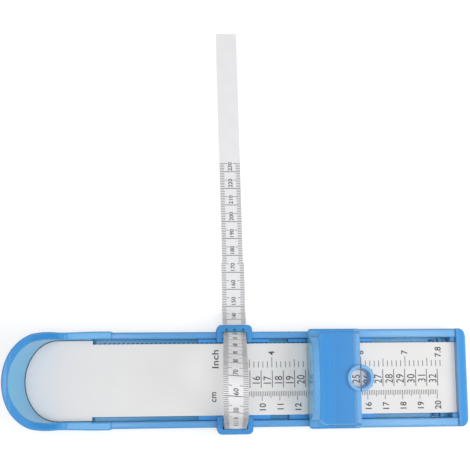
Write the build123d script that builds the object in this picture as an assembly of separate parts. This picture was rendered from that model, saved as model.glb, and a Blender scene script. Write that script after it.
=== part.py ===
from build123d import *
import math
import os

os.makedirs("parts", exist_ok=True)

# Foot measuring device for children: a straight tray that the foot stands on, a heel cup at one
# end, a toe slider that is pushed against the toes, and a girth tape on a carriage of its own.
# Millimetres. X runs from the heel to the toes and is 0 at the heel wall, Y is 0 on the centre
# line and Z is 0 on the table.

# ------------------------------------------------------------------ heights
under_gap = 2.4          # table to the tray's underside, where the carriage passes under it
floor_thick = 1.6        # tray floor under the two channels
bed_top = 8.8            # raised bed that carries the scale plate
plate_thick = 0.8
rail_top = 12.0
plate_top = bed_top + plate_thick
channel_floor = under_gap + floor_thick

# ------------------------------------------------------------------ tray, across
plate_half = 20.0        # scale plate between the channels, half its width
bed_overhang = 0.2       # the plate stands this far over the bed's sides
channel_width = 2.85     # from the plate's edge to a rail
undercut_depth = 1.85    # the T-slot goes this far in under a rail
undercut_top = 6.6
rail_wall = 1.9          # wall outside the T-slot
wide_step = 1.1          # the toe end and the toe slider stand this far outside the rails
skirt_wall = 1.8         # wall of the toe end that stands on the table
bed_skin = 1.6           # moulded wall thickness of the hollow bed
bed_half = plate_half - bed_overhang
channel_outer = plate_half + channel_width
undercut_outer = channel_outer + undercut_depth
rail_half = undercut_outer + rail_wall
wide_half = rail_half + wide_step

# ------------------------------------------------------------------ tray, along
tray_start = 20.5        # the tray's end inside the heel cup
step_x = 166.0           # the narrow tray becomes the wide toe end
tray_end = 242.2         # seam with the toe end cap
stop_length = 3.2        # solid stop at the toe end of both channels
stop_drop = 0.8          # its top stays this far below the rails
channel_end = tray_end - stop_length
rib_pitch = 24.0
rib_thick = 1.2
rib_depth = 3.4
long_rib_y = 6.4         # two ribs run the whole length at this distance from the centre line
rail_round = 0.9         # rounding of the rails' outer top edges
belly_round = 1.2        # rounding of the narrow tray's lower edges, where the tape bends round

# ------------------------------------------------------------------ heel cup
heel_round = 18.5        # depth of the rounded heel end of the plate
heel_corner = 16.5       # plan radius at the sides of the rounded end
heel_draw = 0.45         # the cup's inside is this much narrower than the channels' outer faces
cup_wall = 3.4           # wall behind the heel
cup_corner = 19.5        # plan radius at the sides of the cup's outside
arm_step = 0.5           # the arms stand this far outside the rails
waist_draw = 0.6         # the round wall is this much narrower, on each side, than the arms
arm_full_x = 38.0        # the arms reach their full width here
cup_top = 42.6           # rim at the back of the heel
rim_rise = 0.3           # the rim's line rises this much towards the back
rim_level_x = 0.5        # it is nearly level up to here
rim_knee_x = 10.0        # falls gently to here, then steeply to the arms
rim_knee_drop = 6.6
rim_foot_x = 20.4
rim_bend = 6.0
sleeve_end = 47.7        # the cup's arms end here
arm_cover = 1.2          # thickness of the arms over the rails
sleeve_fit = 0.1         # gap between the cup and the tray's narrower end inside it
sleeve_wall = 1.4        # thickness of the arms beside the tray
cup_rib_pitch = 12.0
cup_shell = 2.0          # wall left round the hollow under the heel
rim_chamfer = 0.3        # on the outer edge of the rim and the arms
arm_top = rail_top + arm_cover
heel_half = channel_outer - heel_draw
cup_half = rail_half + arm_step
cup_waist = cup_half - waist_draw
spigot_half = cup_half - sleeve_wall - sleeve_fit

# ------------------------------------------------------------------ scale plate
notch_x = 36.8           # the plate narrows here and the channels come to light
plate_gap = 0.25         # gap between the plate's edge and the cup
plate_end = tray_end - 0.1

# ------------------------------------------------------------------ toe end cap
cap_depth = 6.3
cap_round = 5.6          # plan radius of its two outer corners
cap_top = 12.9
cap_edge_top = 9.6       # its top falls to this height at the outer edge
cap_crown_drop = 0.8     # and by this much at cap_crown_x behind the seam
cap_crown_x = 4.0
cap_shell = 1.6
cap_rib_pitch = 13.0
latch_reach = 12.6       # the snap arms reach this far under the tray
latch_width = 1.9
latch_thick = 1.1
latch_nose = 4.4
latch_gap = 0.2
latch_fit = 0.1          # the arms under the channel floor, and their hooks below its top
latch_start = tray_end - latch_reach

# ------------------------------------------------------------------ detent rack
tooth_pitch = 2.6
tooth_height = 0.4
rack_base = 0.35
rack_top = bed_top - 0.2
rack_inset = 0.5         # it begins this far past the heel cup

# ------------------------------------------------------------------ runners in the channels
run_gap = 0.2            # sliding clearance of every runner
tab_gap = 0.05           # fit of the runners' tabs in their sockets
tab_width = 1.5
tab_rise = 1.5           # how far a tab goes into the piece above the rails
tongue_length = 11.0     # spring tongue in a far runner's web, whose nib clicks over the rack
tongue_low = 7.1
tongue_slit = 0.5
tongue_thick = 1.3
nib_radius = 0.9
nib_height = 1.2
nib_clear = 0.1          # nib above the teeth when it stands between two clicks
runner_top = rack_top
runner_corner = 0.8

# ------------------------------------------------------------------ toe slider
toe_face = 156.8         # the wall that the toes touch, at the shown reading
slider_end = 186.0
toe_wall_top = 30.2      # middle of the domed toe wall
toe_wall_thick = 3.2     # at its top edge
crown_half = 15.2        # the wall's crown runs this far to each side, down to crown_edge
crown_edge = 27.6
brow_y = 19.9            # the shoulder bulges out through here
brow_z = 24.1
shoulder_y = 23.0        # then it falls to here
shoulder_z = 18.8
hip_y = 24.9             # and turns out to the side rim through here
hip_z = 15.8
side_rim = 1.6           # low rims beside the thumb scoop
side_rim_top = 14.9
deck_top = 14.3
scoop_corner = 8.0       # plan radius inside the toe wall
scoop_lean = 1.6         # the wall's back leans this much towards the toe end
scoop_bend = 9.0         # its sweep into the deck
slider_corner = 1.6
plate_clear = 0.3        # toe wall and window ring above the plate
lip_length = 3.6         # raised lip across the rear edge
lip_slope = 1.6          # length of its sloping front
lip_rise = 0.8
lip_inset = 0.8          # it ends this far from the side rims
ring_x = 185.9
ring_outer = 7.5
ring_bore_top = 5.6
ring_bore_low = 4.7
ring_top = 15.8
runner_lead = 10.4       # its runners stand out this far ahead of the toe wall
runner_trail = 8.7       # and this far behind it
slider_tab_length = 7.0
slider_tab_inset = 4.5   # from the slider's ends to the tabs of its runners
slider_under = rail_top + run_gap

# ------------------------------------------------------------------ tape carriage
carriage_x = 115.6
carriage_length = 20.0
window_length = 13.9     # clear opening of both gates, along X
gate_reach = 3.65        # the two gate bars stand out this far beyond the rails
gate_top = 14.8
gate_round = 2.8
gate_chamfer = 0.5
bridge_low = 0.4
bridge_thick = 1.3
side_gap = 0.3           # carriage beside the rails
runner_length = 40.4
far_bar_cover = 0.5      # the far bar covers this much of the rail
slot_gap = 0.5           # the near bar leaves this much more than side_gap for the tape
bar_thick = 1.9
sill_drop = 0.4          # wall under the far bar, below the rail's top
pad_inset = 0.6          # its pads over the channels end this far outside the plate's edge
carriage_tab_inset = 0.5
exit_lip = 1.2
gate_half = rail_half + gate_reach
far_bar_inner = rail_half - far_bar_cover

# ------------------------------------------------------------------ measuring tape
tape_thick = 0.35
tape_width = 12.2
tail_width = 13.2        # the stretch outside the gate
tip_width = 12.0         # the rest, with its blank end
tail_table = 0.3         # centre of the tape's thickness where it lies on the table
tail_start_y = 52.0      # the pulled tail begins here, where the tape already lies flat
tail_gap = 0.15          # between it and the stretch that comes out of the gate
tail_step = 16.0         # length of its wider stretch
tail_length = 155.0
tail_swing = 1.07        # degrees that it lies turned towards the heel
tip_round = 1.0
slope_reach = 1.6        # the tape bends down this far outside the gate
slope_run = 14.0         # and comes to the table over this length
slope_bend = 9.0
tape_bend = 0.8          # tightest bend, at the carriage's lower edge
tape_under = 2.03        # centre of its thickness under the tray
tape_clear = 0.05        # more room than side_gap where the tape rises beside the rail
loop_rise = 56.0         # top of the loop above the plate
loop_lift = 0.5          # the loop begins this far above the rail
# the loop's line: shares of the distance from the centre line to the rail's side, and of loop_rise
loop_line = [(-0.853, 0.371), (-0.72, 0.727), (-0.59, 0.893), (-0.286, 1.0), (0.059, 0.98),
             (0.301, 0.855), (0.623, 0.543), (0.891, 0.22)]
loop_gap = 0.05          # between it and the stretch below
exit_dip = 1.2           # the loop ends this far above the stretch that goes out
anchor_y = 2.0
lead_end = 3.5           # the tape ends this far past the rivet
rivet_shank = 0.9
rivet_head = 1.9
rivet_height = 0.8
rivet_fit = 0.02         # its shank in the hole


spare = 10.0             # large cutting bodies run this far past what they cut


def block(x0, x1, y0, y1, z0, z1):
    """A box from its six faces."""
    centre = Pos((x0 + x1) / 2, (y0 + y1) / 2, (z0 + z1) / 2)
    return centre * Box(x1 - x0, y1 - y0, z1 - z0)


def along_x(outline, x0, x1):
    """Extrude a (y, z) outline from x0 to x1."""
    face = Plane.YZ.offset(x0) * make_face(Polyline(*outline, close=True))
    return extrude(face, amount=x1 - x0)


def across_y(wires, half):
    """Extrude closed (x, z) wires to both sides of the centre line."""
    return extrude(Plane.XZ * make_face(wires), amount=half, both=True)


def mirrored(outline):
    """The same outline on the -Y side."""
    return [(-y, z) for y, z in outline]


def save(part, name):
    """Write one sub-part."""
    part.label = name
    export_step(part, "parts/" + name + ".step")


# ================================================================== base tray
def base_tray():
    bed_under = bed_top - bed_skin
    bed_inner = bed_half - bed_skin
    half_section = [
        (0, bed_under), (bed_inner, bed_under), (bed_inner, under_gap), (rail_half, under_gap),
        (rail_half, rail_top), (channel_outer, rail_top), (channel_outer, undercut_top),
        (undercut_outer, undercut_top), (undercut_outer, channel_floor),
        (bed_half, channel_floor), (bed_half, bed_top), (0, bed_top),
    ]
    tray = along_x(half_section, tray_start, tray_end)
    tray += along_x(mirrored(half_section), tray_start, tray_end)
    # the wide toe end: thicker rails, and a skirt that stands on the table all round
    inner = wide_half - skirt_wall
    for side in (1, -1):
        wall = [(side * inner, 0), (side * wide_half, 0), (side * wide_half, rail_top),
                (side * inner, rail_top)]
        tray += along_x(wall, step_x, tray_end)
    skirt = [(-wide_half, 0), (wide_half, 0), (wide_half, channel_floor), (-wide_half, channel_floor)]
    tray += along_x(skirt, step_x, step_x + skirt_wall)
    tray += along_x(skirt, tray_end - skirt_wall, tray_end)
    # ribs across the hollow bed
    rib_low = bed_under - rib_depth
    rib_count = int((tray_end - tray_start) // rib_pitch)
    for i in range(1, rib_count + 1):
        x = tray_start + i * rib_pitch
        tray += block(x, x + rib_thick, -bed_inner, bed_inner, rib_low, bed_under)
    for y in (-long_rib_y, long_rib_y):
        tray += block(tray_start, tray_end, y - rib_thick / 2, y + rib_thick / 2, rib_low, bed_under)
    for side in (1, -1):
        # the channels end in a solid stop, a little below the rails
        y0, y1 = sorted((side * bed_half, side * undercut_outer))
        tray += block(channel_end, tray_end, y0, y1, under_gap, bed_top)
        y0, y1 = sorted((side * (plate_half + plate_gap), side * undercut_outer))
        tray += block(channel_end, tray_end, y0, y1, bed_top, rail_top - stop_drop)
        # window for a snap arm of the toe end cap, and its way in through the skirt
        y0, y1 = sorted((side * latch_y(-1), side * latch_y(1)))
        window_end = latch_start + latch_nose + 2 * latch_gap
        tray -= block(latch_start - latch_gap, window_end, y0, y1, under_gap - 0.1, channel_floor + 0.1)
        tray -= block(tray_end - skirt_wall - 0.1, tray_end + 0.1, y0, y1, -0.1, under_gap)
    lengthwise = tray.edges().filter_by(Axis.X)
    lower = lengthwise.filter_by(lambda e: abs(e.center().Z - under_gap) < 0.01
                                 and abs(abs(e.center().Y) - rail_half) < 0.01)
    tray = fillet(lower, belly_round)
    upper = tray.edges().filter_by(Axis.X).filter_by(
        lambda e: abs(e.center().Z - rail_top) < 0.01 and abs(e.center().Y) > rail_half - 0.01)
    tray = fillet(upper, rail_round)
    # the end that goes into the heel cup is narrower
    for side in (1, -1):
        y0, y1 = sorted((side * spigot_half, side * (rail_half + 1)))
        tray -= block(tray_start - 1, sleeve_end + sleeve_fit, y0, y1, 0, rail_top + 1)
    return tray


def latch_y(side):
    """Inner (-1) or outer (+1) side of the opening for a snap arm."""
    middle = (bed_half + channel_outer) / 2
    return middle + side * (latch_width / 2 + latch_gap)


# ================================================================== heel cup
def round_end(depth, half, corner):
    """Plan of the heel end: three tangent arcs, from its near side round to its far side."""
    side_y = half - corner
    back_radius = (depth ** 2 + side_y ** 2 - corner ** 2) / (2 * (depth - corner))
    turn = math.atan2(side_y, depth - back_radius)

    def on_corner(angle, side):
        return (heel_round + corner * math.cos(angle), side * (side_y + corner * math.sin(angle)))

    middle = (turn + math.pi / 2) / 2
    near = ThreePointArc((heel_round, -half), on_corner(middle, -1), on_corner(turn, -1))
    back = ThreePointArc(on_corner(turn, -1), (heel_round - depth, 0), on_corner(turn, 1))
    far = ThreePointArc(on_corner(turn, 1), on_corner(middle, 1), (heel_round, half))
    return near + back + far


def heel_plan(depth, half, corner, sides):
    """The heel end closed by straight sides through the given (x, y) points."""
    near_sides = [(x, -y) for x, y in reversed(sides)]
    return make_face(round_end(depth, half, corner) + Polyline((heel_round, half), *sides, *near_sides,
                                                               (heel_round, -half)))


def heel_cup():
    outside = heel_plan(heel_round + cup_wall, cup_waist, cup_corner,
                        [(arm_full_x, cup_half), (sleeve_end, cup_half)])
    cup = extrude(outside, cup_top)
    inside = heel_plan(heel_round, heel_half, heel_corner, [(sleeve_end + 1, heel_half)])
    cup -= Pos(0, 0, bed_top) * extrude(inside, cup_top)
    # the sleeve that the end of the tray is pushed into
    cup -= block(tray_start, sleeve_end + 1, -spigot_half - sleeve_fit, spigot_half + sleeve_fit,
                 under_gap, rail_top)
    # hollow under the heel
    hollow = heel_plan(heel_round + cup_wall - cup_shell, cup_waist - cup_shell, cup_corner - cup_shell,
                       [])
    under = extrude(hollow, bed_top - cup_shell)
    for i in (-1, 0, 1):
        y = i * cup_rib_pitch
        under -= block(-cup_wall, heel_round, y - rib_thick / 2, y + rib_thick / 2, -1, bed_top)
    cup -= under
    # the runners pass between the arms up to the shoulder of the scale plate
    cup -= block(notch_x, sleeve_end + 1, -channel_outer, channel_outer, rail_top - 1, arm_top + 1)
    # the rim runs level behind the heel and falls in a long curve to the arms
    far_x = sleeve_end + spare
    above = FilletPolyline((-spare, cup_top + rim_rise), (rim_level_x, cup_top),
                           (rim_knee_x, cup_top - rim_knee_drop), (rim_foot_x, arm_top),
                           (far_x, arm_top), radius=rim_bend)
    above += Polyline((far_x, arm_top), (far_x, 2 * cup_top), (-spare, 2 * cup_top),
                      (-spare, cup_top + rim_rise))
    cup -= across_y(above, cup_half + spare)
    corners = cup.edges().filter_by(Axis.Z).filter_by(
        lambda e: e.center().X > sleeve_end - 0.01 and abs(e.center().Y) > cup_half - 0.01)
    cup = fillet(corners, 0.5 * sleeve_wall)
    outline = outside.face().outer_wire()
    rim = (cup.edges() - cup.edges().filter_by(Axis.Z)).filter_by(
        lambda e: e.center().Z > arm_top - 0.01 and e.center().X < sleeve_end - sleeve_wall
        and outline.distance_to(Vertex(e.position_at(0.5).X, e.position_at(0.5).Y, 0)) < 0.01)
    return chamfer(rim, rim_chamfer)


# ================================================================== toe end cap
def toe_end_cap():
    cap_end = tray_end + cap_depth
    plan = Pos(tray_end + cap_depth / 2, 0) * Rectangle(cap_depth, 2 * wide_half)
    outer = plan.vertices().filter_by(lambda v: v.X > cap_end - 0.01)
    cap = extrude(fillet(outer, cap_round), cap_top)
    crown = ThreePointArc((tray_end, cap_top), (tray_end + cap_crown_x, cap_top - cap_crown_drop),
                          (cap_end + 0.2, cap_edge_top))
    above = crown + Polyline((cap_end + 0.2, cap_edge_top), (cap_end + 0.2, cap_top + 1),
                             (tray_end, cap_top + 1), (tray_end, cap_top))
    cap -= across_y(above, wide_half + 1)
    # hollow underside
    inner_depth = cap_depth - 2 * cap_shell
    inner = Rectangle(inner_depth, 2 * (wide_half - cap_shell))
    inner = fillet(inner.vertices().filter_by(lambda v: v.X > 0), 0.8 * inner_depth)
    hollow = extrude(Pos(tray_end + cap_depth / 2, 0) * inner, cap_edge_top - cap_shell)
    for i in (-1, 0, 1):
        y = i * cap_rib_pitch
        hollow -= block(tray_end, cap_end, y - rib_thick / 2, y + rib_thick / 2, -1, cap_top)
    cap -= hollow
    # two snap arms that reach under the channel floors and hook into their windows
    arm_low = under_gap - latch_fit - latch_thick
    for side in (1, -1):
        y0, y1 = sorted((side * (latch_y(-1) + latch_gap), side * (latch_y(1) - latch_gap)))
        cap += block(latch_start, tray_end + cap_shell, y0, y1, arm_low, arm_low + latch_thick)
        nose = Polyline((latch_start, arm_low), (latch_start + latch_nose, arm_low),
                        (latch_start + latch_nose, channel_floor - latch_fit),
                        (latch_start + 0.5 * latch_nose, channel_floor - latch_fit),
                        (latch_start, arm_low + latch_thick), close=True)
        cap += extrude(Plane.XZ.offset(-y1) * make_face(nose), amount=y1 - y0)
    return cap


# ================================================================== scale plate
def scale_plate():
    plan = heel_plan(heel_round - plate_gap, heel_half - plate_gap, heel_corner - plate_gap,
                     [(notch_x, heel_half - plate_gap)])
    plate = Pos(0, 0, bed_top) * extrude(plan, plate_thick)
    return plate + block(notch_x - 1, plate_end, -plate_half, plate_half, bed_top, plate_top)


# ================================================================== detent rack
def detent_rack():
    """Toothed strip along the bed's side in the far channel, which gives the runners their clicks."""
    root = bed_half + rack_base
    crest = root + tooth_height
    start = notch_x + rack_inset
    count = int((channel_end - start) // tooth_pitch)
    outline = [(start, bed_half), (start, root)]
    for i in range(count):
        x = start + i * tooth_pitch
        outline += [(x + 0.4 * tooth_pitch, root), (x + 0.6 * tooth_pitch, crest),
                    (x + 0.85 * tooth_pitch, crest), (x + tooth_pitch, root)]
    outline.append((start + count * tooth_pitch, bed_half))
    face = Plane.XY.offset(channel_floor) * make_face(Polyline(*outline, close=True))
    return extrude(face, amount=rack_top - channel_floor)


# ================================================================== runners
def runner(x0, x1, side, tabs, tab_top):
    """A T-shaped runner in a channel. Its tabs carry the piece above the rails."""
    inner = bed_half + run_gap
    if side > 0:
        inner = bed_half + rack_base + tooth_height + run_gap
    web_outer = channel_outer - run_gap
    foot_outer = undercut_outer - run_gap
    foot_top = undercut_top - run_gap
    low = channel_floor + run_gap
    outline = [(inner, low), (foot_outer, low), (foot_outer, foot_top), (web_outer, foot_top),
               (web_outer, runner_top), (inner, runner_top)]
    bar = along_x([(side * y, z) for y, z in outline], x0, x1)
    for t0, t1 in tabs:
        y0, y1 = sorted((side * tab_outer(), side * (tab_outer() - tab_width)))
        bar += block(t0, t1, y0, y1, runner_top, tab_top)
    ends = bar.edges().filter_by(Axis.Z).filter_by(
        lambda e: (e.center().X < x0 + 0.01 or e.center().X > x1 - 0.01)
        and abs(abs(e.center().Y) - foot_outer) < 0.01)
    bar = fillet(ends, runner_corner)
    if side > 0:
        bar = click_tongue(bar, (x0 + x1) / 2, inner, web_outer)
    return bar


def click_tongue(bar, x, inner, web_outer):
    """Free a tongue in the web by a slit below it and at its tip, and give it a rounded nib."""
    tip = x + tongue_length / 2
    root = x - tongue_length / 2
    around = block(root, tip + tongue_slit, inner - 1, web_outer + 1, tongue_low - tongue_slit,
                   runner_top + 1)
    bar -= around - block(root - 1, tip, inner - 1, inner + tongue_thick, tongue_low, runner_top + 2)
    nib_tip = bed_half + rack_base + tooth_height + nib_clear
    nib = Pos(tip - nib_radius, nib_tip + nib_radius, runner_top - nib_height / 2) * Cylinder(
        nib_radius, nib_height)
    return bar + (nib - block(root, tip + 1, inner + tongue_thick, web_outer + 2, 0, 20))


def tab_outer():
    """Outer face of the runners' tabs."""
    return channel_outer - run_gap


def socket(x0, x1, side, top):
    """The hole that a tab is pressed into, cut from below."""
    y0, y1 = sorted((side * (tab_outer() + tab_gap), side * (tab_outer() - tab_width - tab_gap)))
    return block(x0 - tab_gap, x1 + tab_gap, y0, y1, slider_under - 1, top + tab_gap)


# ================================================================== toe slider
slider_tabs = [
    (toe_face + slider_tab_inset, toe_face + slider_tab_inset + slider_tab_length),
    (slider_end - slider_tab_inset - slider_tab_length, slider_end - slider_tab_inset),
]
slider_tab_top = slider_under + tab_rise


def toe_slider():
    length = slider_end - toe_face
    middle = (toe_face + slider_end) / 2
    plan = fillet((Pos(middle, 0) * Rectangle(length, 2 * wide_half)).vertices(), slider_corner)
    slider = extrude(Plane.XY.offset(slider_under) * plan, toe_wall_top - slider_under)
    # the toe wall hangs down between the channels to just above the plate
    wall_low = plate_top + plate_clear
    slider += block(toe_face, toe_face + toe_wall_thick, -bed_half, bed_half, wall_low, slider_under)
    slider += block(slider_end - toe_wall_thick / 2, slider_end, -bed_half, bed_half, wall_low,
                    slider_under)
    # domed outline of the wall, seen from the heel
    dome = ThreePointArc((-crown_half, crown_edge), (0, toe_wall_top), (crown_half, crown_edge))
    for side in (1, -1):
        dome += ThreePointArc((side * crown_half, crown_edge), (side * brow_y, brow_z),
                              (side * shoulder_y, shoulder_z))
        dome += ThreePointArc((side * shoulder_y, shoulder_z), (side * hip_y, hip_z),
                              (side * wide_half, side_rim_top))
    dome += Polyline((wide_half, side_rim_top), (wide_half, 0), (-wide_half, 0),
                     (-wide_half, side_rim_top))
    slider &= extrude(Plane.YZ.offset(toe_face) * make_face(dome), amount=length)
    # thumb scoop behind the wall
    scoop_start = toe_face + toe_wall_thick
    back = FilletPolyline((scoop_start, toe_wall_top + 2), (scoop_start + scoop_lean, deck_top),
                          (slider_end + 1, deck_top), radius=scoop_bend)
    back += Polyline((slider_end + 1, deck_top), (slider_end + 1, toe_wall_top + 2),
                     (scoop_start, toe_wall_top + 2))
    scoop_plan = Pos((scoop_start + slider_end + spare) / 2, 0) * Rectangle(
        slider_end + spare - scoop_start, 2 * (wide_half - side_rim))
    scoop_plan = fillet(scoop_plan.vertices().filter_by(lambda v: v.X < middle), scoop_corner)
    slider -= across_y(back, wide_half) & extrude(scoop_plan, toe_wall_top + spare)
    # raised lip along the rear edge
    lip = Polyline((slider_end - lip_length, deck_top - 0.5), (slider_end, deck_top - 0.5),
                   (slider_end, deck_top + lip_rise),
                   (slider_end - lip_length + lip_slope, deck_top + lip_rise),
                   (slider_end - lip_length, deck_top), close=True)
    slider += across_y(lip, wide_half - side_rim - lip_inset)
    # reading ring: a short tube round an opening whose wall narrows towards the plate
    slider += Pos(ring_x, 0, (wall_low + ring_top) / 2) * Cylinder(ring_outer, ring_top - wall_low)
    bore_height = ring_top - wall_low
    slider -= Pos(ring_x, 0, wall_low + bore_height / 2) * Cone(ring_bore_low, ring_bore_top,
                                                                 bore_height)
    for side in (1, -1):
        for x0, x1 in slider_tabs:
            slider -= socket(x0, x1, side, slider_tab_top)
    return slider


# ================================================================== tape carriage
gate_low = bridge_low + bridge_thick
window_x0 = carriage_x - window_length / 2
window_x1 = carriage_x + window_length / 2
carriage_x0 = carriage_x - carriage_length / 2
carriage_x1 = carriage_x + carriage_length / 2
carriage_tabs = [(carriage_x0 + carriage_tab_inset, window_x0 - carriage_tab_inset),
                 (window_x1 + carriage_tab_inset, carriage_x1 - carriage_tab_inset)]
carriage_tab_top = slider_under + tab_rise
saddle_inner = rail_half + side_gap
near_bar_inner = saddle_inner + slot_gap
sill = rail_top - sill_drop


def tape_carriage():
    plan = Pos(carriage_x, 0) * Rectangle(carriage_length, 2 * gate_half)
    plan = fillet(plan.vertices(), gate_round)
    saddle = extrude(Plane.XY.offset(bridge_low) * plan, gate_top - bridge_low)
    # the tray passes through, and the foot stands between the gates
    saddle -= block(carriage_x0 - 1, carriage_x1 + 1, -saddle_inner, saddle_inner, gate_low, slider_under)
    inner_end = plate_half + pad_inset
    saddle -= block(carriage_x0 - 1, carriage_x1 + 1, -inner_end, inner_end, gate_low, gate_top + 1)
    # far gate: the tape leaves under the bar and over the lower wall
    saddle -= block(window_x0, window_x1, inner_end - 1, far_bar_inner, slider_under - 1, gate_top + 1)
    saddle -= block(window_x0, window_x1, far_bar_inner - 1, gate_half + 1, sill, gate_top - bar_thick)
    lip = Polyline((saddle_inner, sill), (gate_half, sill), (gate_half, sill - 2 * exit_lip), close=True)
    saddle -= extrude(Plane.YZ.offset(window_x0) * make_face(lip), amount=window_length)
    # near gate: the tape comes up between the rail and the bar
    saddle -= block(window_x0, window_x1, -near_bar_inner, -inner_end + 1, gate_low - 0.1, gate_top + 1)
    # hole for the rivet that holds the end of the tape
    saddle -= Pos(carriage_x, anchor_y, bridge_low) * Cylinder(rivet_shank, 3 * bridge_thick)
    for side in (1, -1):
        for x0, x1 in carriage_tabs:
            saddle -= socket(x0, x1, side, carriage_tab_top)
    top = saddle.edges().filter_by(lambda e: e.center().Z > gate_top - 0.01
                                   and abs(e.center().Y) > gate_half - gate_round - 0.01
                                   and not (window_x0 < e.center().X < window_x1
                                            and abs(e.center().Y) < gate_half - 0.01))
    return chamfer(top, gate_chamfer)


# ================================================================== measuring tape
def strip(path, width, start_direction):
    """A flat strip of the tape's thickness along a path in the (y, z) plane at the carriage."""
    route = Plane.YZ.offset(carriage_x) * path
    start = route @ 0
    section = Plane(origin=start, x_dir=(1, 0, 0), z_dir=start_direction) * Rectangle(width, tape_thick)
    return sweep(section, path=route)


tape_side = saddle_inner + tape_clear
tape_over = slider_under + tape_thick / 2
loop_foot = rail_top + loop_lift


def tape_lead():
    """The start of the tape, from its rivet under the tray to the near edge of the foot bed."""
    route = FilletPolyline((anchor_y + lead_end, tape_under), (-tape_side, tape_under),
                           (-tape_side, loop_foot - loop_gap), radius=tape_bend)
    tape = strip(route, tape_width, (0, -1, 0))
    return tape - Pos(carriage_x, anchor_y, tape_under) * Cylinder(rivet_shank, 3 * tape_thick)


def tape_arch():
    """The loop that lies over the foot. It stands free when no foot is in it."""
    points = [(y * tape_side, plate_top + z * loop_rise) for y, z in loop_line]
    rise = Spline((-tape_side, loop_foot), *points, (far_bar_inner - slot_gap, tape_over + exit_dip),
                  tangents=[(0.2, 1), (0.1, -1)])
    return strip(rise, tape_width, (0, 0.2, 1))


def tape_exit():
    """Out through the far gate and down to the table."""
    slope_start = gate_half + slope_reach
    route = FilletPolyline((far_bar_inner - slot_gap, tape_over), (slope_start, tape_over),
                           (slope_start + slope_run, tail_table), (tail_start_y, tail_table),
                           radius=slope_bend)
    return strip(route, tail_width, (0, 1, 0))


def tape_tail():
    """The free end, flat on the table and away from the tray. Its wider start ends in a step."""
    low = tail_table - tape_thick / 2
    high = low + tape_thick
    wide = block(-tail_width / 2, tail_width / 2, tail_gap, tail_step, low, high)
    tip = block(-tip_width / 2, tip_width / 2, tail_step, tail_length, low, high)
    ends = tip.edges().filter_by(Axis.Z).filter_by(lambda e: e.center().Y > tail_length - 0.01)
    return Pos(carriage_x, tail_start_y, 0) * Rot(0, 0, tail_swing) * (wide + fillet(ends, tip_round))


def tape_rivet():
    """Flat-headed rivet that holds the tape's end to the carriage's bridge."""
    tape_face = tape_under + tape_thick / 2
    shank = Pos(carriage_x, anchor_y, (bridge_low + tape_face) / 2) * Cylinder(
        rivet_shank - rivet_fit, tape_face - bridge_low)
    head = Pos(carriage_x, anchor_y, tape_face + rivet_height / 2) * Cylinder(rivet_head, rivet_height)
    return shank + head


save(base_tray(), "base_tray")
save(heel_cup(), "heel_cup")
save(toe_end_cap(), "toe_end_cap")
save(scale_plate(), "scale_plate")
save(detent_rack(), "detent_rack")
save(toe_slider(), "toe_slider")
front = toe_face - runner_lead
rear = slider_end + runner_trail
save(runner(front, rear, 1, slider_tabs, slider_tab_top), "slider_runner_far")
save(runner(front, rear, -1, slider_tabs, slider_tab_top), "slider_runner_near")
save(tape_carriage(), "tape_carriage")
runner_x0 = carriage_x - runner_length / 2
runner_x1 = carriage_x + runner_length / 2
save(runner(runner_x0, runner_x1, 1, carriage_tabs, carriage_tab_top), "carriage_runner_far")
save(runner(runner_x0, runner_x1, -1, carriage_tabs, carriage_tab_top), "carriage_runner_near")
save(tape_lead(), "tape_lead")
save(tape_arch(), "tape_arch")
save(tape_exit(), "tape_exit")
save(tape_tail(), "tape_tail")
save(tape_rivet(), "tape_rivet")
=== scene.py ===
import bisect
import math

import bmesh
import bpy
from bpy.props import FloatProperty, FloatVectorProperty, PointerProperty
from mathutils import Euler, Matrix, Vector


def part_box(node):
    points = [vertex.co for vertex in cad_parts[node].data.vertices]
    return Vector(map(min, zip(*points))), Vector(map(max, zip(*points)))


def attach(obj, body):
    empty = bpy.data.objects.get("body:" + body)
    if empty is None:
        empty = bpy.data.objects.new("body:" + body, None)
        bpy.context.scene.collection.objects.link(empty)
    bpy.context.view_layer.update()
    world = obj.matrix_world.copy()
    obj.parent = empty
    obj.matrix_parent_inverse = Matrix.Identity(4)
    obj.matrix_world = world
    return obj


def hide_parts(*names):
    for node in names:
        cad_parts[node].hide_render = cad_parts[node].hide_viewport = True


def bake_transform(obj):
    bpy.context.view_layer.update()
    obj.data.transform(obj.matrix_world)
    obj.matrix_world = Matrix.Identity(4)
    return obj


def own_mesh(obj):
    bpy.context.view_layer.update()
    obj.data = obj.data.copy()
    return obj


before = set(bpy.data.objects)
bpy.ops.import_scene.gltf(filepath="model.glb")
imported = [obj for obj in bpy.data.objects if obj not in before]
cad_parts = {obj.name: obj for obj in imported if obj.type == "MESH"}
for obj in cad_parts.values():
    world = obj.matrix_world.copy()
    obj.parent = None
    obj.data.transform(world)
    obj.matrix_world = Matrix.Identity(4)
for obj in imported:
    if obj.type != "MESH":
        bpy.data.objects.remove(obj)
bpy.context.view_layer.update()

bl_info = {
    "name": "Foot Measuring Device",
    "version": (1, 0, 0),
    "blender": (4, 5, 0),
    "location": "View3D > Sidebar > Foot Gauge",
    "description": "Dresses a foot gauge: prints its scales, lays its tape and paints its plastics",
    "category": "Add Mesh",
}

MM = 0.001

# ---------------------------------------------------------------- places read from the frame
slider_low, slider_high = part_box("toe_slider")
carriage_low, carriage_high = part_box("tape_carriage")
rack_low, rack_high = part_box("detent_rack")
PLATE_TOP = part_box("scale_plate")[1].z
TRAY_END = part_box("base_tray")[1].x
TAIL_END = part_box("tape_tail")[1].y
TOE_FACE = slider_low.x
CARRIAGE_X = (carriage_low.x + carriage_high.x) / 2
GATE_TOP = carriage_high.z
GATE_HALF = carriage_high.y

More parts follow.
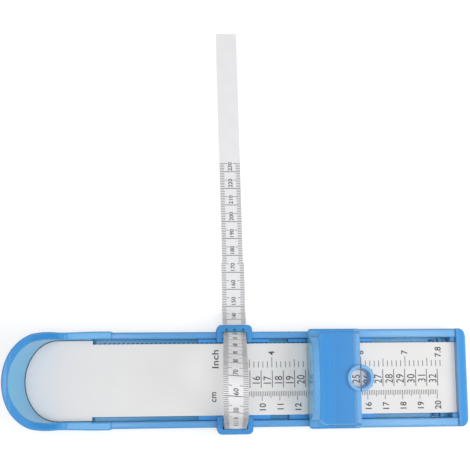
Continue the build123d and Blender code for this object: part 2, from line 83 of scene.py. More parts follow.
# ---------------------------------------------------------------- measures of the mouldings
RAIL_TOP = 12.0 * MM
CHANNEL_FLOOR = 4.0 * MM
CHANNEL_HALF = 23.0 * MM         # both channels lie within this half width of the tray
RACK_PITCH = 2.6 * MM
RING_OUTER = 7.5 * MM            # radius of the reading ring
RING_BORE = 5.6 * MM             # radius of its bore at the top
RING_X = slider_high.x - RING_OUTER
OVERLAP = 0.2 * MM               # a finish reaches this far past the face that it is for

# ---------------------------------------------------------------- signs of use on the plastics, with painted highlights and painted shade
CLOUD_TONE = 0.04                # flow clouds are this much lighter and darker than the colour
EDGE_HIGHLIGHT = 0.55                 # share of the highlight blue painted on an edge
SHADE_TONE = 0.6                # painted shade is this share of the rack's teal
SCUFF_DULL = 0.06                # what scuffs, rubbed edges and thumbs add to the roughness
EDGE_DULL = 0.08
THUMB_DULL = 0.3
POLISHED = 0.04                  # roughness left on the polished faces
SKIN_GRAIN = 1.1 * MM            # blotches of the moulded skin, and how deep they are
SKIN_DEPTH = 0.003 * MM

# ---------------------------------------------------------------- how far each place takes a tint of painted light or shade
BOUNCE_CUP = 0.9                   # towards the paler blue of painted bounce light
BOUNCE_ARMS = 0.35
BOUNCE_CHANNELS = 0.55
HIGHLIGHT_RAILS = 0.4                 # towards the paler blue of painted highlights
HIGHLIGHT_RAILS_PAST = 0.3            # and this much more past the slider
LIGHT_CAP = 0.9
HIGHLIGHT_TEETH = 0.9
HIGHLIGHT_LIP = 0.7
HIGHLIGHT_CROWN = 0.6
HIGHLIGHT_BACK = 0.45
HIGHLIGHT_SCOOP = 0.7
SHADE_FAR = 0.4                 # share of the painted shade that is left away from the heel cup

# ---------------------------------------------------------------- the print
INK_LIFT = 0.03 * MM             # print on a hard piece lies this far above it
TAPE_LIFT = 0.06 * MM            # and on the tape, which is bent
CAPITAL = 0.70                   # height of a capital as a share of the typeface's size
LETTER_SPACE = 1.04


class GaugeSizes(bpy.types.PropertyGroup):
    """Sizes of the printed and loose pieces."""

    tick: FloatProperty(
        name="Tick width",
        description="Width of a millimetre mark on the plate",
        default=0.32 * MM, min=0.0, unit="LENGTH", precision=5)
    bold: FloatProperty(
        name="Bold",
        description="How much every stroke of the plate's numbers is thickened on each side",
        default=0.08 * MM, min=0.0, unit="LENGTH", precision=5)
    size_digits: FloatProperty(
        name="Size digits",
        description="Height of the European size numbers",
        default=4.35 * MM, min=0.0, unit="LENGTH", precision=5)
    scale_digits: FloatProperty(
        name="Scale digits",
        description="Height of the centimetre and inch numbers",
        default=3.45 * MM, min=0.0, unit="LENGTH", precision=5)
    tape_digits: FloatProperty(
        name="Tape digits",
        description="Height of the tape's numbers",
        default=2.35 * MM, min=0.0, unit="LENGTH", precision=5)
    tape_width: FloatProperty(
        name="Tape width",
        description="Width of the printed tape",
        default=12.1 * MM, min=0.0, unit="LENGTH", precision=5)
    free_width: FloatProperty(
        name="Free tape width",
        description="Width of the tape outside the gate, up to its step",
        default=13.2 * MM, min=0.0, unit="LENGTH", precision=5)
    tip_width: FloatProperty(
        name="Tape tip width",
        description="Width of the tape's narrower end",
        default=12.0 * MM, min=0.0, unit="LENGTH", precision=5)
    tape_thick: FloatProperty(
        name="Tape thickness",
        description="Thickness of the tape",
        default=0.35 * MM, min=0.0, unit="LENGTH", precision=5)
    tape_tick: FloatProperty(
        name="Tape tick width",
        description="Width of a millimetre mark on the tape",
        default=0.28 * MM, min=0.0, unit="LENGTH", precision=5)


class GaugeColours(bpy.types.PropertyGroup):
    """Colours of the plastics, the print and the metal, and the painted light and shade on the
    plastics.
    """

    blue: FloatVectorProperty(
        name="Blue", description="Moulded blue plastic",
        default=(0.032, 0.244, 0.585), min=0.0, max=1.0, size=3, subtype="COLOR")
    # Painted bounce light: a paler, greener blue where walls face each other or the plate.
    thin: FloatVectorProperty(
        name="Bounce light", description="Painted bounce light: a paler, greener blue on walls that face other walls or the plate",
        default=(0.100, 0.480, 0.760), min=0.0, max=1.0, size=3, subtype="COLOR")
    # Painted highlight: a paler blue on edges, rails, rims, lips and the reading ring.
    pale: FloatVectorProperty(
        name="Highlights", description="Painted highlights: a paler blue on edges, rails, rims, lips and the reading ring",
        default=(0.17, 0.42, 0.72), min=0.0, max=1.0, size=3, subtype="COLOR")
    teal: FloatVectorProperty(
        name="Teal", description="Rack in the far channel",
        default=(0.020, 0.110, 0.190), min=0.0, max=1.0, size=3, subtype="COLOR")
    white: FloatVectorProperty(
        name="White", description="Printed sheet of the scale plate",
        default=(0.742, 0.736, 0.728), min=0.0, max=1.0, size=3, subtype="COLOR")
    # Painted light: the heel end is warmed to offset the blue light bounced from the heel cup.
    heel_white: FloatVectorProperty(
        name="Heel end", description="Printed sheet at its heel end, painted warmer to offset the blue light bounced from the heel cup",
        default=(0.745, 0.690, 0.668), min=0.0, max=1.0, size=3, subtype="COLOR")
    tape: FloatVectorProperty(
        name="Tape", description="Vinyl of the measuring tape",
        default=(0.775, 0.775, 0.788), min=0.0, max=1.0, size=3, subtype="COLOR")
    ink: FloatVectorProperty(
        name="Ink", description="Print on the plate and the tape",
        default=(0.055, 0.055, 0.065), min=0.0, max=1.0, size=3, subtype="COLOR")
    arrow_ink: FloatVectorProperty(
        name="Arrow ink", description="Three arrows on the far gate",
        default=(0.006, 0.055, 0.15), min=0.0, max=1.0, size=3, subtype="COLOR")
    # Painted shadow: the dark slot between the far gate's bar and the tape.
    edge_ink: FloatVectorProperty(
        name="Slot shadow", description="Painted shadow of the slot between the far gate's bar and the tape",
        default=(0.006, 0.165, 0.135), min=0.0, max=1.0, size=3, subtype="COLOR")
    ring_ink: FloatVectorProperty(
        name="Ring ink", description="Index lines on the reading ring",
        default=(0.02, 0.06, 0.14), min=0.0, max=1.0, size=3, subtype="COLOR")
    nickel: FloatVectorProperty(
        name="Nickel", description="Rivet that holds the tape",
        default=(0.62, 0.61, 0.58), min=0.0, max=1.0, size=3, subtype="COLOR")


def sizes():
    return bpy.context.scene.gauge_sizes


def colours():
    return bpy.context.scene.gauge_colours


# ================================================================ materials
class Value:
    """A number that varies over a surface. Its arithmetic adds Math nodes."""

    def __init__(self, recipe, socket):
        self.recipe = recipe
        self.socket = socket

    def __add__(self, other):
        return self.recipe.maths("ADD", self, other)

    __radd__ = __add__

    def __sub__(self, other):
        return self.recipe.maths("SUBTRACT", self, other)

    def __rsub__(self, other):
        return self.recipe.maths("SUBTRACT", other, self)

    def __mul__(self, other):
        return self.recipe.maths("MULTIPLY", self, other)

    __rmul__ = __mul__

    def __gt__(self, edge):
        return self.recipe.maths("GREATER_THAN", self, edge)

    def __lt__(self, edge):
        return self.recipe.maths("LESS_THAN", self, edge)

    def ramp(self, low, high):
        """0 at low, 1 at high, straight between them and level outside."""
        node = self.recipe.add("ShaderNodeMapRange", {"clamp": True}, {0: self, 1: low, 2: high})
        return Value(self.recipe, node.outputs[0])

    def band(self, start, full, fading, end):
        """0 up to start, 1 from full to fading and 0 again past end."""
        return self.ramp(start, full) * self.ramp(end, fading)


class Recipe:
    """The nodes of a material or of the world being written: one shader and what feeds it."""

    def __init__(self, owner, shader):
        owner.use_nodes = True
        self.owner = owner
        self.tree = owner.node_tree
        self.shader = self.tree.nodes[shader]

    def put(self, socket, value):
        """Set a socket to a number or a colour, or link it to a Value or another socket."""
        if isinstance(value, Value):
            self.tree.links.new(value.socket, socket)
        elif isinstance(value, bpy.types.NodeSocket):
            self.tree.links.new(value, socket)
        elif socket.type == "RGBA" and len(value) == 3:
            socket.default_value = (*value, 1.0)
        else:
            socket.default_value = value

    def add(self, kind, settings=None, inputs=None):
        """A node of a kind. Its settings come first, then what its sockets are set or linked to."""
        node = self.tree.nodes.new(kind)
        for name, value in (settings or {}).items():
            setattr(node, name, value)
        for key, value in (inputs or {}).items():
            self.put(node.inputs[key], value)
        return node

    def feed(self, name, value):
        """Set or link one of the shader's sockets."""
        self.put(self.shader.inputs[name], value)

    def maths(self, operation, *terms):
        node = self.add("ShaderNodeMath", {"operation": operation}, dict(enumerate(terms)))
        return Value(self, node.outputs[0])

    def vector_maths(self, operation, first, second):
        return self.add("ShaderNodeVectorMath", {"operation": operation}, {0: first, 1: second})

    def place(self):
        """Object coordinates, in metres from the object's origin."""
        return self.add("ShaderNodeTexCoord").outputs["Object"]

    def along(self, axis):
        """One of the object coordinates."""
        node = self.add("ShaderNodeSeparateXYZ", None, {0: self.place()})
        return Value(self, node.outputs[axis])

    def against_normal(self, direction):
        """How far a direction goes along the surface's own normal."""
        normal = self.add("ShaderNodeNewGeometry").outputs["Normal"]
        return Value(self, self.vector_maths("DOT_PRODUCT", direction, normal).outputs["Value"])

    def noise(self, grain, detail, roughness=0.5):
        """Cloudy variation, 0 to 1, whose blotches are about grain metres across."""
        node = self.add("ShaderNodeTexNoise", None, {
            "Vector": self.place(), "Scale": 1.0 / grain, "Detail": detail, "Roughness": roughness})
        return Value(self, node.outputs["Fac"])

    def mix(self, share, first, second):
        """A colour between two: the first where share is 0, the second where it is 1."""
        node = self.add("ShaderNodeMix", {"data_type": "RGBA"}, {0: share, 6: first, 7: second})
        return node.outputs[2]

    def worn_edge(self, radius):
        """Near 1 along outer and inner edges, 0 on the open faces, and the rounded normal."""
        rounded = self.add("ShaderNodeBevel", {"samples": 6}, {"Radius": radius}).outputs[0]
        return self.against_normal(rounded).ramp(1.0, 0.75), rounded

    def vary_roughness(self, lowest, spread, grain):
        """Roughness from lowest up to spread more, in blotches of a size."""
        blotches = self.noise(grain, detail=3.0).ramp(0.2, 0.8)
        self.feed("Roughness", blotches * spread + lowest)

    def bump(self, height, depth, normal=None):
        inputs = {"Height": height, "Distance": depth, "Strength": 1.0}
        if normal is not None:
            inputs["Normal"] = normal
        self.feed("Normal", self.add("ShaderNodeBump", None, inputs).outputs[0])


def new_material(name, constants):
    """A material's recipe. constants gives what is the same all over, by the shader's sockets."""
    recipe = Recipe(bpy.data.materials.new(name), "Principled BSDF")
    for socket, value in constants.items():
        recipe.feed(socket, value)
    return recipe


def grey(level):
    return (level, level, level)


def scaled(colour, share):
    return tuple(min(1.0, part * share) for part in colour)


def moulded_plastic(name, colour, gloss, edge, thin=None, pale=None, smooth=None, satin=None,
                    shaded=None):
    """Injection-moulded plastic: faint flow clouds, a very shallow skin, and edges that are rubbed
    duller and painted paler as a highlight.

    gloss is the roughness of a clean face, and edge how far from an edge it is rubbed and painted as a
    highlight. The others
    take the recipe and give a Value: where painted bounce light makes it a paler, greener blue, where
    it takes a painted highlight as pale as an edge's, where it is polished like glass, where thumbs
    have dulled it and where painted shade darkens it."""
    recipe = new_material(name, {"IOR": 1.48})
    rubbed_and_highlit, rounded = recipe.worn_edge(edge)
    clouds = recipe.noise(grain=6 * MM, detail=3.0)
    tone = recipe.mix(clouds, scaled(colour, 1 - CLOUD_TONE), scaled(colour, 1 + CLOUD_TONE))
    # painted shade: a dark share of the teal, for corners and gaps where shade falls
    shade_tint = scaled(colours().teal, SHADE_TONE)
    # painted highlights, painted bounce light and painted shade are mixed into the colour
    for where, tint in ((pale, colours().pale), (thin, colours().thin), (shaded, shade_tint)):
        if where:
            tone = recipe.mix(where(recipe), tone, tint)
    # painted highlight: the edges take the paler blue
    recipe.feed("Base Color", recipe.mix(rubbed_and_highlit * EDGE_HIGHLIGHT, tone, colours().pale))
    scuffs = recipe.noise(grain=1.3 * MM, detail=4.0, roughness=0.6).ramp(0.35, 0.75)
    roughness = scuffs * SCUFF_DULL + gloss + rubbed_and_highlit * EDGE_DULL
    if smooth:
        roughness = roughness * (1.0 - smooth(recipe)) + POLISHED
    if satin:
        roughness = roughness + satin(recipe) * THUMB_DULL
    recipe.feed("Roughness", roughness)
    recipe.bump(recipe.noise(grain=SKIN_GRAIN, detail=1.0), SKIN_DEPTH, rounded)
    return recipe.owner


def above_rails(recipe):
    """What stands as high as the rails' tops, or higher."""
    return recipe.along("Z").ramp(RAIL_TOP - 0.4 * MM, RAIL_TOP)


def inside_cup(recipe):
    """The walls of the heel cup that face the heel."""
    heel = (20 * MM, 0, 20 * MM)
    towards_heel = recipe.vector_maths("SUBTRACT", heel, recipe.place()).outputs[0]
    return recipe.against_normal(towards_heel).ramp(8 * MM, 16 * MM) * BOUNCE_CUP


def thin_cup(recipe):
    """Painted bounce light on the walls that face the heel, and a little on the tops of the cup's arms.
    """
    arms = recipe.along("X").ramp(16 * MM, 28 * MM) * above_rails(recipe)
    return recipe.maths("MAXIMUM", inside_cup(recipe), arms * BOUNCE_ARMS)


def cup_corner(recipe):
    """Painted shade where the walls that face the heel meet the plate."""
    foot = recipe.along("Z").ramp(PLATE_TOP + 1.1 * MM, PLATE_TOP + 0.6 * MM)
    return inside_cup(recipe) * foot


def inside_channels(recipe):
    """Painted bounce light on the floors and walls of the two channels."""
    height = recipe.along("Z")
    across = recipe.maths("ABSOLUTE", recipe.along("Y"))
    deep = height.ramp(RAIL_TOP - 0.6 * MM, RAIL_TOP - 4.0 * MM)
    deep = deep * (height > CHANNEL_FLOOR - 0.1 * MM)
    return deep * (across < CHANNEL_HALF) * BOUNCE_CHANNELS


def rack_gap(recipe):
    """1 beside each gap between the rack's teeth, 0 beside each tooth."""
    lead = 0.07                  # a gap begins this share of a pitch ahead of the rack's end
    width = 0.57                 # share of a pitch that is gap
    steps = (recipe.along("X") - rack_low.x) * (1.0 / RACK_PITCH) + lead
    return recipe.maths("FRACT", steps) < width


def rack_teeth(recipe):
    """Painted highlight on the rack's teeth. The strip between them stays dark."""
    return (1.0 - rack_gap(recipe)) * HIGHLIGHT_TEETH


def rack_grease(recipe):
    """Painted shade on the channel's floor in the gaps between the rack's teeth, darkest near the heel
    cup.
    """
    side = recipe.along("Y")
    floor = (recipe.along("Z") < CHANNEL_FLOOR + 0.5 * MM) * (side > rack_low.y)
    beside = side.ramp(rack_high.y + 0.70 * MM, rack_high.y + 0.45 * MM)
    near_cup = recipe.along("X").ramp(84 * MM, 66 * MM)
    fading = near_cup * (1.0 - SHADE_FAR) + SHADE_FAR
    return floor * rack_gap(recipe) * beside * fading


def pale_rails(recipe):
    """Painted highlight on the rails, paler still past the slider."""
    past = recipe.along("X").ramp(160 * MM, 190 * MM)
    return above_rails(recipe) * (past * HIGHLIGHT_RAILS_PAST + HIGHLIGHT_RAILS)


def cap_face(recipe):
    """Painted light on the end cap's face above the plate's far end, lifting the shade there."""
    face = (recipe.along("X") < TRAY_END + 0.3 * MM) * (recipe.along("Z") > PLATE_TOP)
    return face * LIGHT_CAP


def toe_front(recipe):
    """The toe wall's face that the toes touch."""
    return recipe.along("X") < TOE_FACE + OVERLAP


def reading_ring(recipe, radius):
    """Everything within a radius of the reading ring's axis."""
    along = recipe.along("X") - RING_X
    across = recipe.along("Y")
    return along * along + across * across < radius * radius


def polished_slider(recipe):
    """The toe face and the bore of the reading ring."""
    return recipe.maths("MAXIMUM", toe_front(recipe), reading_ring(recipe, RING_BORE + OVERLAP))


def thumbed_sweep(recipe):
    """The foot of the toe wall's back, where the thumb pushes."""
    behind = recipe.along("X") - TOE_FACE
    return behind.band(5.5 * MM, 7.5 * MM, 12.5 * MM, 15.5 * MM)


# mask for the painted highlight along the scoop's near edge
def scoop_edge(recipe):
    """The near edge of the thumb scoop, with its round corner behind the toe wall."""
    corner_x = TOE_FACE + 11.0 * MM
    corner_y = slider_low.y + 9.6 * MM
    ahead = recipe.maths("MAXIMUM", corner_x - recipe.along("X"), 0.0)
    beside = recipe.maths("MAXIMUM", corner_y - recipe.along("Y"), 0.0)
    reach = recipe.maths("SQRT", ahead * ahead + beside * beside)
    return reach.band(6.9 * MM, 7.4 * MM, 7.7 * MM, 8.1 * MM) * beside.ramp(0.0, 4 * MM)


def pale_slider(recipe):
    """Painted highlights on the reading ring, the lip beside it, the toe wall's crown and back and the
    scoop's near edge.
    """
    along = recipe.along("X")
    height = recipe.along("Z")
    lip = along > RING_X - 3.2 * MM
    crown = height.ramp(16.2 * MM, 22 * MM)
    back = along.ramp(TOE_FACE + 9.5 * MM, TOE_FACE + 3.5 * MM) * (height > 15 * MM)
    brightest = reading_ring(recipe, RING_OUTER + OVERLAP)
    scoop = scoop_edge(recipe)
    for highlight_share in (lip * HIGHLIGHT_LIP, crown * HIGHLIGHT_CROWN, back * HIGHLIGHT_BACK, scoop * HIGHLIGHT_SCOOP):
        brightest = recipe.maths("MAXIMUM", brightest, highlight_share)
    return brightest


def printed_sheet(name, colour, heel_counter_bounce):
    """White satin sheet with a very fine grain, a faint grey from handling and a heel end painted
    warmer to offset the blue light bounced from the heel cup.
    """
    recipe = new_material(name, {"IOR": 1.46})
    handled = recipe.noise(grain=14 * MM, detail=4.0, roughness=0.6).ramp(0.35, 0.8)
    sheet = recipe.mix(handled, colour, scaled(colour, 0.965))
    # painted warmth towards the heel, against the blue bounce light from the cup
    heel = recipe.along("X").ramp(48 * MM, 2 * MM)
    recipe.feed("Base Color", recipe.mix(heel, sheet, heel_counter_bounce))
    recipe.vary_roughness(lowest=0.42, spread=0.12, grain=1.2 * MM)
    recipe.bump(recipe.noise(grain=0.25 * MM, detail=2.0), depth=0.003 * MM)
    return recipe.owner


def tape_vinyl(name, colour):
    """Soft vinyl with a faint grain from its woven core."""
    recipe = new_material(name, {"IOR": 1.46})
    handled = recipe.noise(grain=7 * MM, detail=3.0).ramp(0.3, 0.8)
    recipe.feed("Base Color", recipe.mix(handled, colour, scaled(colour, 0.95)))
    recipe.vary_roughness(lowest=0.46, spread=0.12, grain=0.8 * MM)
    recipe.bump(recipe.noise(grain=0.3 * MM, detail=2.0), depth=0.010 * MM)
    return recipe.owner


def printing_ink(name, colour):
    """Screen-printed ink, a little thin and greyer in places."""
    recipe = new_material(name, {"IOR": 1.45})
    thin = recipe.noise(grain=0.30 * MM, detail=3.0, roughness=0.7)
    worn = (0.30, 0.30, 0.33)
    recipe.feed("Base Color", recipe.mix(thin.ramp(0.45, 0.85) * 0.35, colour, worn))
    recipe.feed("Roughness", thin * 0.15 + 0.42)
    return recipe.owner


def nickel_plate(name, colour):
    """Nickel with a fine, slightly uneven polish."""
    recipe = new_material(name, {"Base Color": colour, "Metallic": 1.0})
    recipe.feed("Roughness", recipe.noise(grain=0.25 * MM, detail=3.0) * 0.18 + 0.22)
    return recipe.owner


def floor_paper(name):
    """Pale matt paper. The camera sees it nearly white, with a faint shadow of the object."""
    recipe = new_material(name, {"Roughness": 0.9, "Emission Strength": 1.0})
    seen = recipe.add("ShaderNodeLightPath").outputs["Is Camera Ray"]
    recipe.feed("Base Color", recipe.mix(seen, grey(0.88), grey(0.42)))
    recipe.feed("Emission Color", recipe.mix(seen, grey(0.0), grey(0.60)))
    return recipe.owner


def paint_node(node, material):
    """Give every face of a CAD node one material."""
    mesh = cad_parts[node].data
    mesh.materials.clear()
    mesh.materials.append(material)


# ================================================================ mesh helpers
def mesh_of(bm, name, material):
    """Turn a bmesh into a mesh of one material, and free it."""
    data = bpy.data.meshes.new(name)
    bm.to_mesh(data)
    bm.free()
    data.materials.append(material)
    return data


def finish_piece(name, bm, body, material):
    """Make a bmesh an object at the origin. It rides on a body, unless that is None."""
    piece = bpy.data.objects.new(name, mesh_of(bm, name, material))
    bpy.context.scene.collection.objects.link(piece)
    if body:
        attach(piece, body)
    return piece


def add_bar(bm, x0, x1, y0, y1, z):
    """A flat rectangle of print."""
    middle = Matrix.Translation(((x0 + x1) / 2, (y0 + y1) / 2, z))
    spread = Matrix.Diagonal((x1 - x0, y1 - y0, 1, 1))
    bmesh.ops.create_grid(bm, x_segments=1, y_segments=1, size=0.5, matrix=middle @ spread)


def add_words(bm, words, height, place, spread=1.0, bold=0.0):
    """Words or numbers as flat faces. height is that of a capital, place a matrix."""
    curve = bpy.data.curves.new("words", "FONT")
    curve.body = words
    curve.size = height / CAPITAL
    curve.align_x = "CENTER"
    curve.align_y = "CENTER"
    curve.space_character = LETTER_SPACE
    curve.offset = bold
    holder = bpy.data.objects.new("words", curve)
    bpy.context.scene.collection.objects.link(holder)
    bpy.context.view_layer.update()
    flat = bpy.data.meshes.new_from_object(holder)
    middle = sum((Vector(corner) for corner in holder.bound_box), Vector()) / 8
    flat.transform(place @ Matrix.Diagonal((spread, 1, 1, 1)) @ Matrix.Translation(-middle))
    bm.from_mesh(flat)
    bpy.data.objects.remove(holder)
    bpy.data.curves.remove(curve)
    bpy.data.meshes.remove(flat)


def reading_up(x, y, z):
    """Place for words that are read from the near side to the far side."""
    return Matrix.Translation((x, y, z)) @ Matrix.Rotation(math.pi / 2, 4, "Z")


# ================================================================ operators
class GAUGE_OT_plate_print(bpy.types.Operator):
    """Print the inch, size and centimetre scales on the plate"""

    bl_idname = "gauge.plate_print"
    bl_label = "Print the plate"

    height = PLATE_TOP + INK_LIFT
    digit_spread = 0.97              # width of the scales' numbers, in the typeface's own

    # zero is where the scale would read 0. marks are a mark's lengths at a tenth, a half and a
    # whole unit, and width is in ticks. A number stands nudge past its mark.
    centimetres = {
        "first": 9.0, "last": 20.0, "zero": 31.08 * MM, "tenth": 1.0 * MM,
        "marks_y": -6.85 * MM, "marks": (2.7 * MM, 3.6 * MM, 5.2 * MM), "width": 1.0,
        "numbers_y": -15.5 * MM, "nudge": 0.3 * MM,
    }
    inches = {
        "first": 3.5, "last": 7.8, "zero": 35.25 * MM, "tenth": 2.54 * MM,
        "marks_y": 6.45 * MM, "marks": (3.4 * MM, 4.6 * MM, 5.7 * MM), "width": 1.15,
        "numbers_y": 14.5 * MM, "nudge": -0.2 * MM,
    }
    end_number_back = 1.1 * MM       # the number at the inch scale's end stands this far before it

    first_size = 16                  # European sizes
    last_size = 32
    size_start = 124.36 * MM         # line on the heel side of the first size
    size_step = 6.305 * MM
    size_line_half = 4.84 * MM
    size_line_width = 1.3            # in ticks
    size_number_x = 0.56             # between two lines, in steps
    size_number_y = -0.45 * MM
    size_spread = 0.83
    size_bold = 0.5                  # in the bold of the other numbers

    # words, height, x, y and spread
    unit_names = (
        ("Inch", 3.7 * MM, 105.0 * MM, 11.4 * MM, 1.17),
        ("cm", 3.5 * MM, 104.25 * MM, -9.8 * MM, 0.95),
    )

    def add_number(self, bm, number, x, y):
        add_words(bm, str(number), sizes().scale_digits, reading_up(x, y, self.height),
                  self.digit_spread, sizes().bold)

    def add_scale(self, bm, first, last, zero, tenth, marks_y, marks, width, numbers_y, nudge):
        """Marks at every tenth of a unit from first to last, and a number at every whole one."""
        half_width = width * sizes().tick / 2
        for count in range(round(first * 10), round(last * 10) + 1):
            whole, half = count % 10 == 0, count % 5 == 0
            length = marks[2] if whole else marks[1] if half else marks[0]
            low, high = sorted((marks_y, marks_y + math.copysign(length, marks_y)))
            x = zero + count * tenth
            add_bar(bm, x - half_width, x + half_width, low, high, self.height)
            if whole:
                self.add_number(bm, count // 10, x + nudge, numbers_y)

    def add_european_sizes(self, bm):
        """A line between every two sizes, and each size's number."""
        half_width = self.size_line_width * sizes().tick / 2
        for count in range(self.last_size - self.first_size + 2):
            x = self.size_start + count * self.size_step
            add_bar(bm, x - half_width, x + half_width, -self.size_line_half, self.size_line_half,
                    self.height)
        for size in range(self.first_size, self.last_size + 1):
            x = self.size_start + (size - self.first_size + self.size_number_x) * self.size_step
            add_words(bm, str(size), sizes().size_digits,
                      reading_up(x, self.size_number_y, self.height), self.size_spread,
                      self.size_bold * sizes().bold)

    def execute(self, context):
        bm = bmesh.new()
        self.add_scale(bm, **self.centimetres)
        self.add_scale(bm, **self.inches)
        inches = self.inches
        end = inches["zero"] + inches["last"] * 10 * inches["tenth"] - self.end_number_back
        self.add_number(bm, inches["last"], end, inches["numbers_y"])
        self.add_european_sizes(bm)
        for words, height, x, y, spread in self.unit_names:
            add_words(bm, words, height, reading_up(x, y, self.height), spread, sizes().bold)
        finish_piece("plate_print", bm, "tray",
                     printing_ink("plate ink", colours().ink))
        return {"FINISHED"}


class TapeRoute:
    """A line along the middle of the tape: a place for every distance along it."""

    def __init__(self, points, bends):
        """points are (y, z) in metres; bends tells for each whether the line is smooth there."""
        curve = bpy.data.curves.new("route", "CURVE")
        curve.dimensions = "3D"
        curve.resolution_u = 64
        spline = curve.splines.new("BEZIER")
        spline.bezier_points.add(len(points) - 1)
        for spot, (y, z), bend in zip(spline.bezier_points, points, bends):
            spot.co = (0, y, z)
            spot.handle_left_type = bend
            spot.handle_right_type = bend
        holder = bpy.data.objects.new("route", curve)
        bpy.context.scene.collection.objects.link(holder)
        bpy.context.view_layer.update()
        line = bpy.data.meshes.new_from_object(holder)
        self.spots = [vertex.co.copy() for vertex in line.vertices]
        bpy.data.objects.remove(holder)
        bpy.data.curves.remove(curve)
        bpy.data.meshes.remove(line)
        self.lengths = [0.0]
        for first, second in zip(self.spots, self.spots[1:]):
            self.lengths.append(self.lengths[-1] + (second - first).length)
        self.length = self.lengths[-1]

    def at(self, distance):
        """(place, direction) at a distance along the line."""
        distance = min(max(distance, 0.0), self.length)
        index = bisect.bisect_left(self.lengths, distance, lo=1)
        first, second = self.spots[index - 1], self.spots[index]
        start, end = self.lengths[index - 1], self.lengths[index]
        return first.lerp(second, (distance - start) / (end - start)), (second - first).normalized()

    def distance_at_y(self, y):
        """Distance along the line where it last crosses y."""
        for index in range(len(self.spots) - 1, 0, -1):
            first, second = self.spots[index - 1], self.spots[index]
            if first.y <= y <= second.y and second.y > first.y:
                share = (y - first.y) / (second.y - first.y)
                return self.lengths[index - 1] + share * (second - first).length
        return self.length


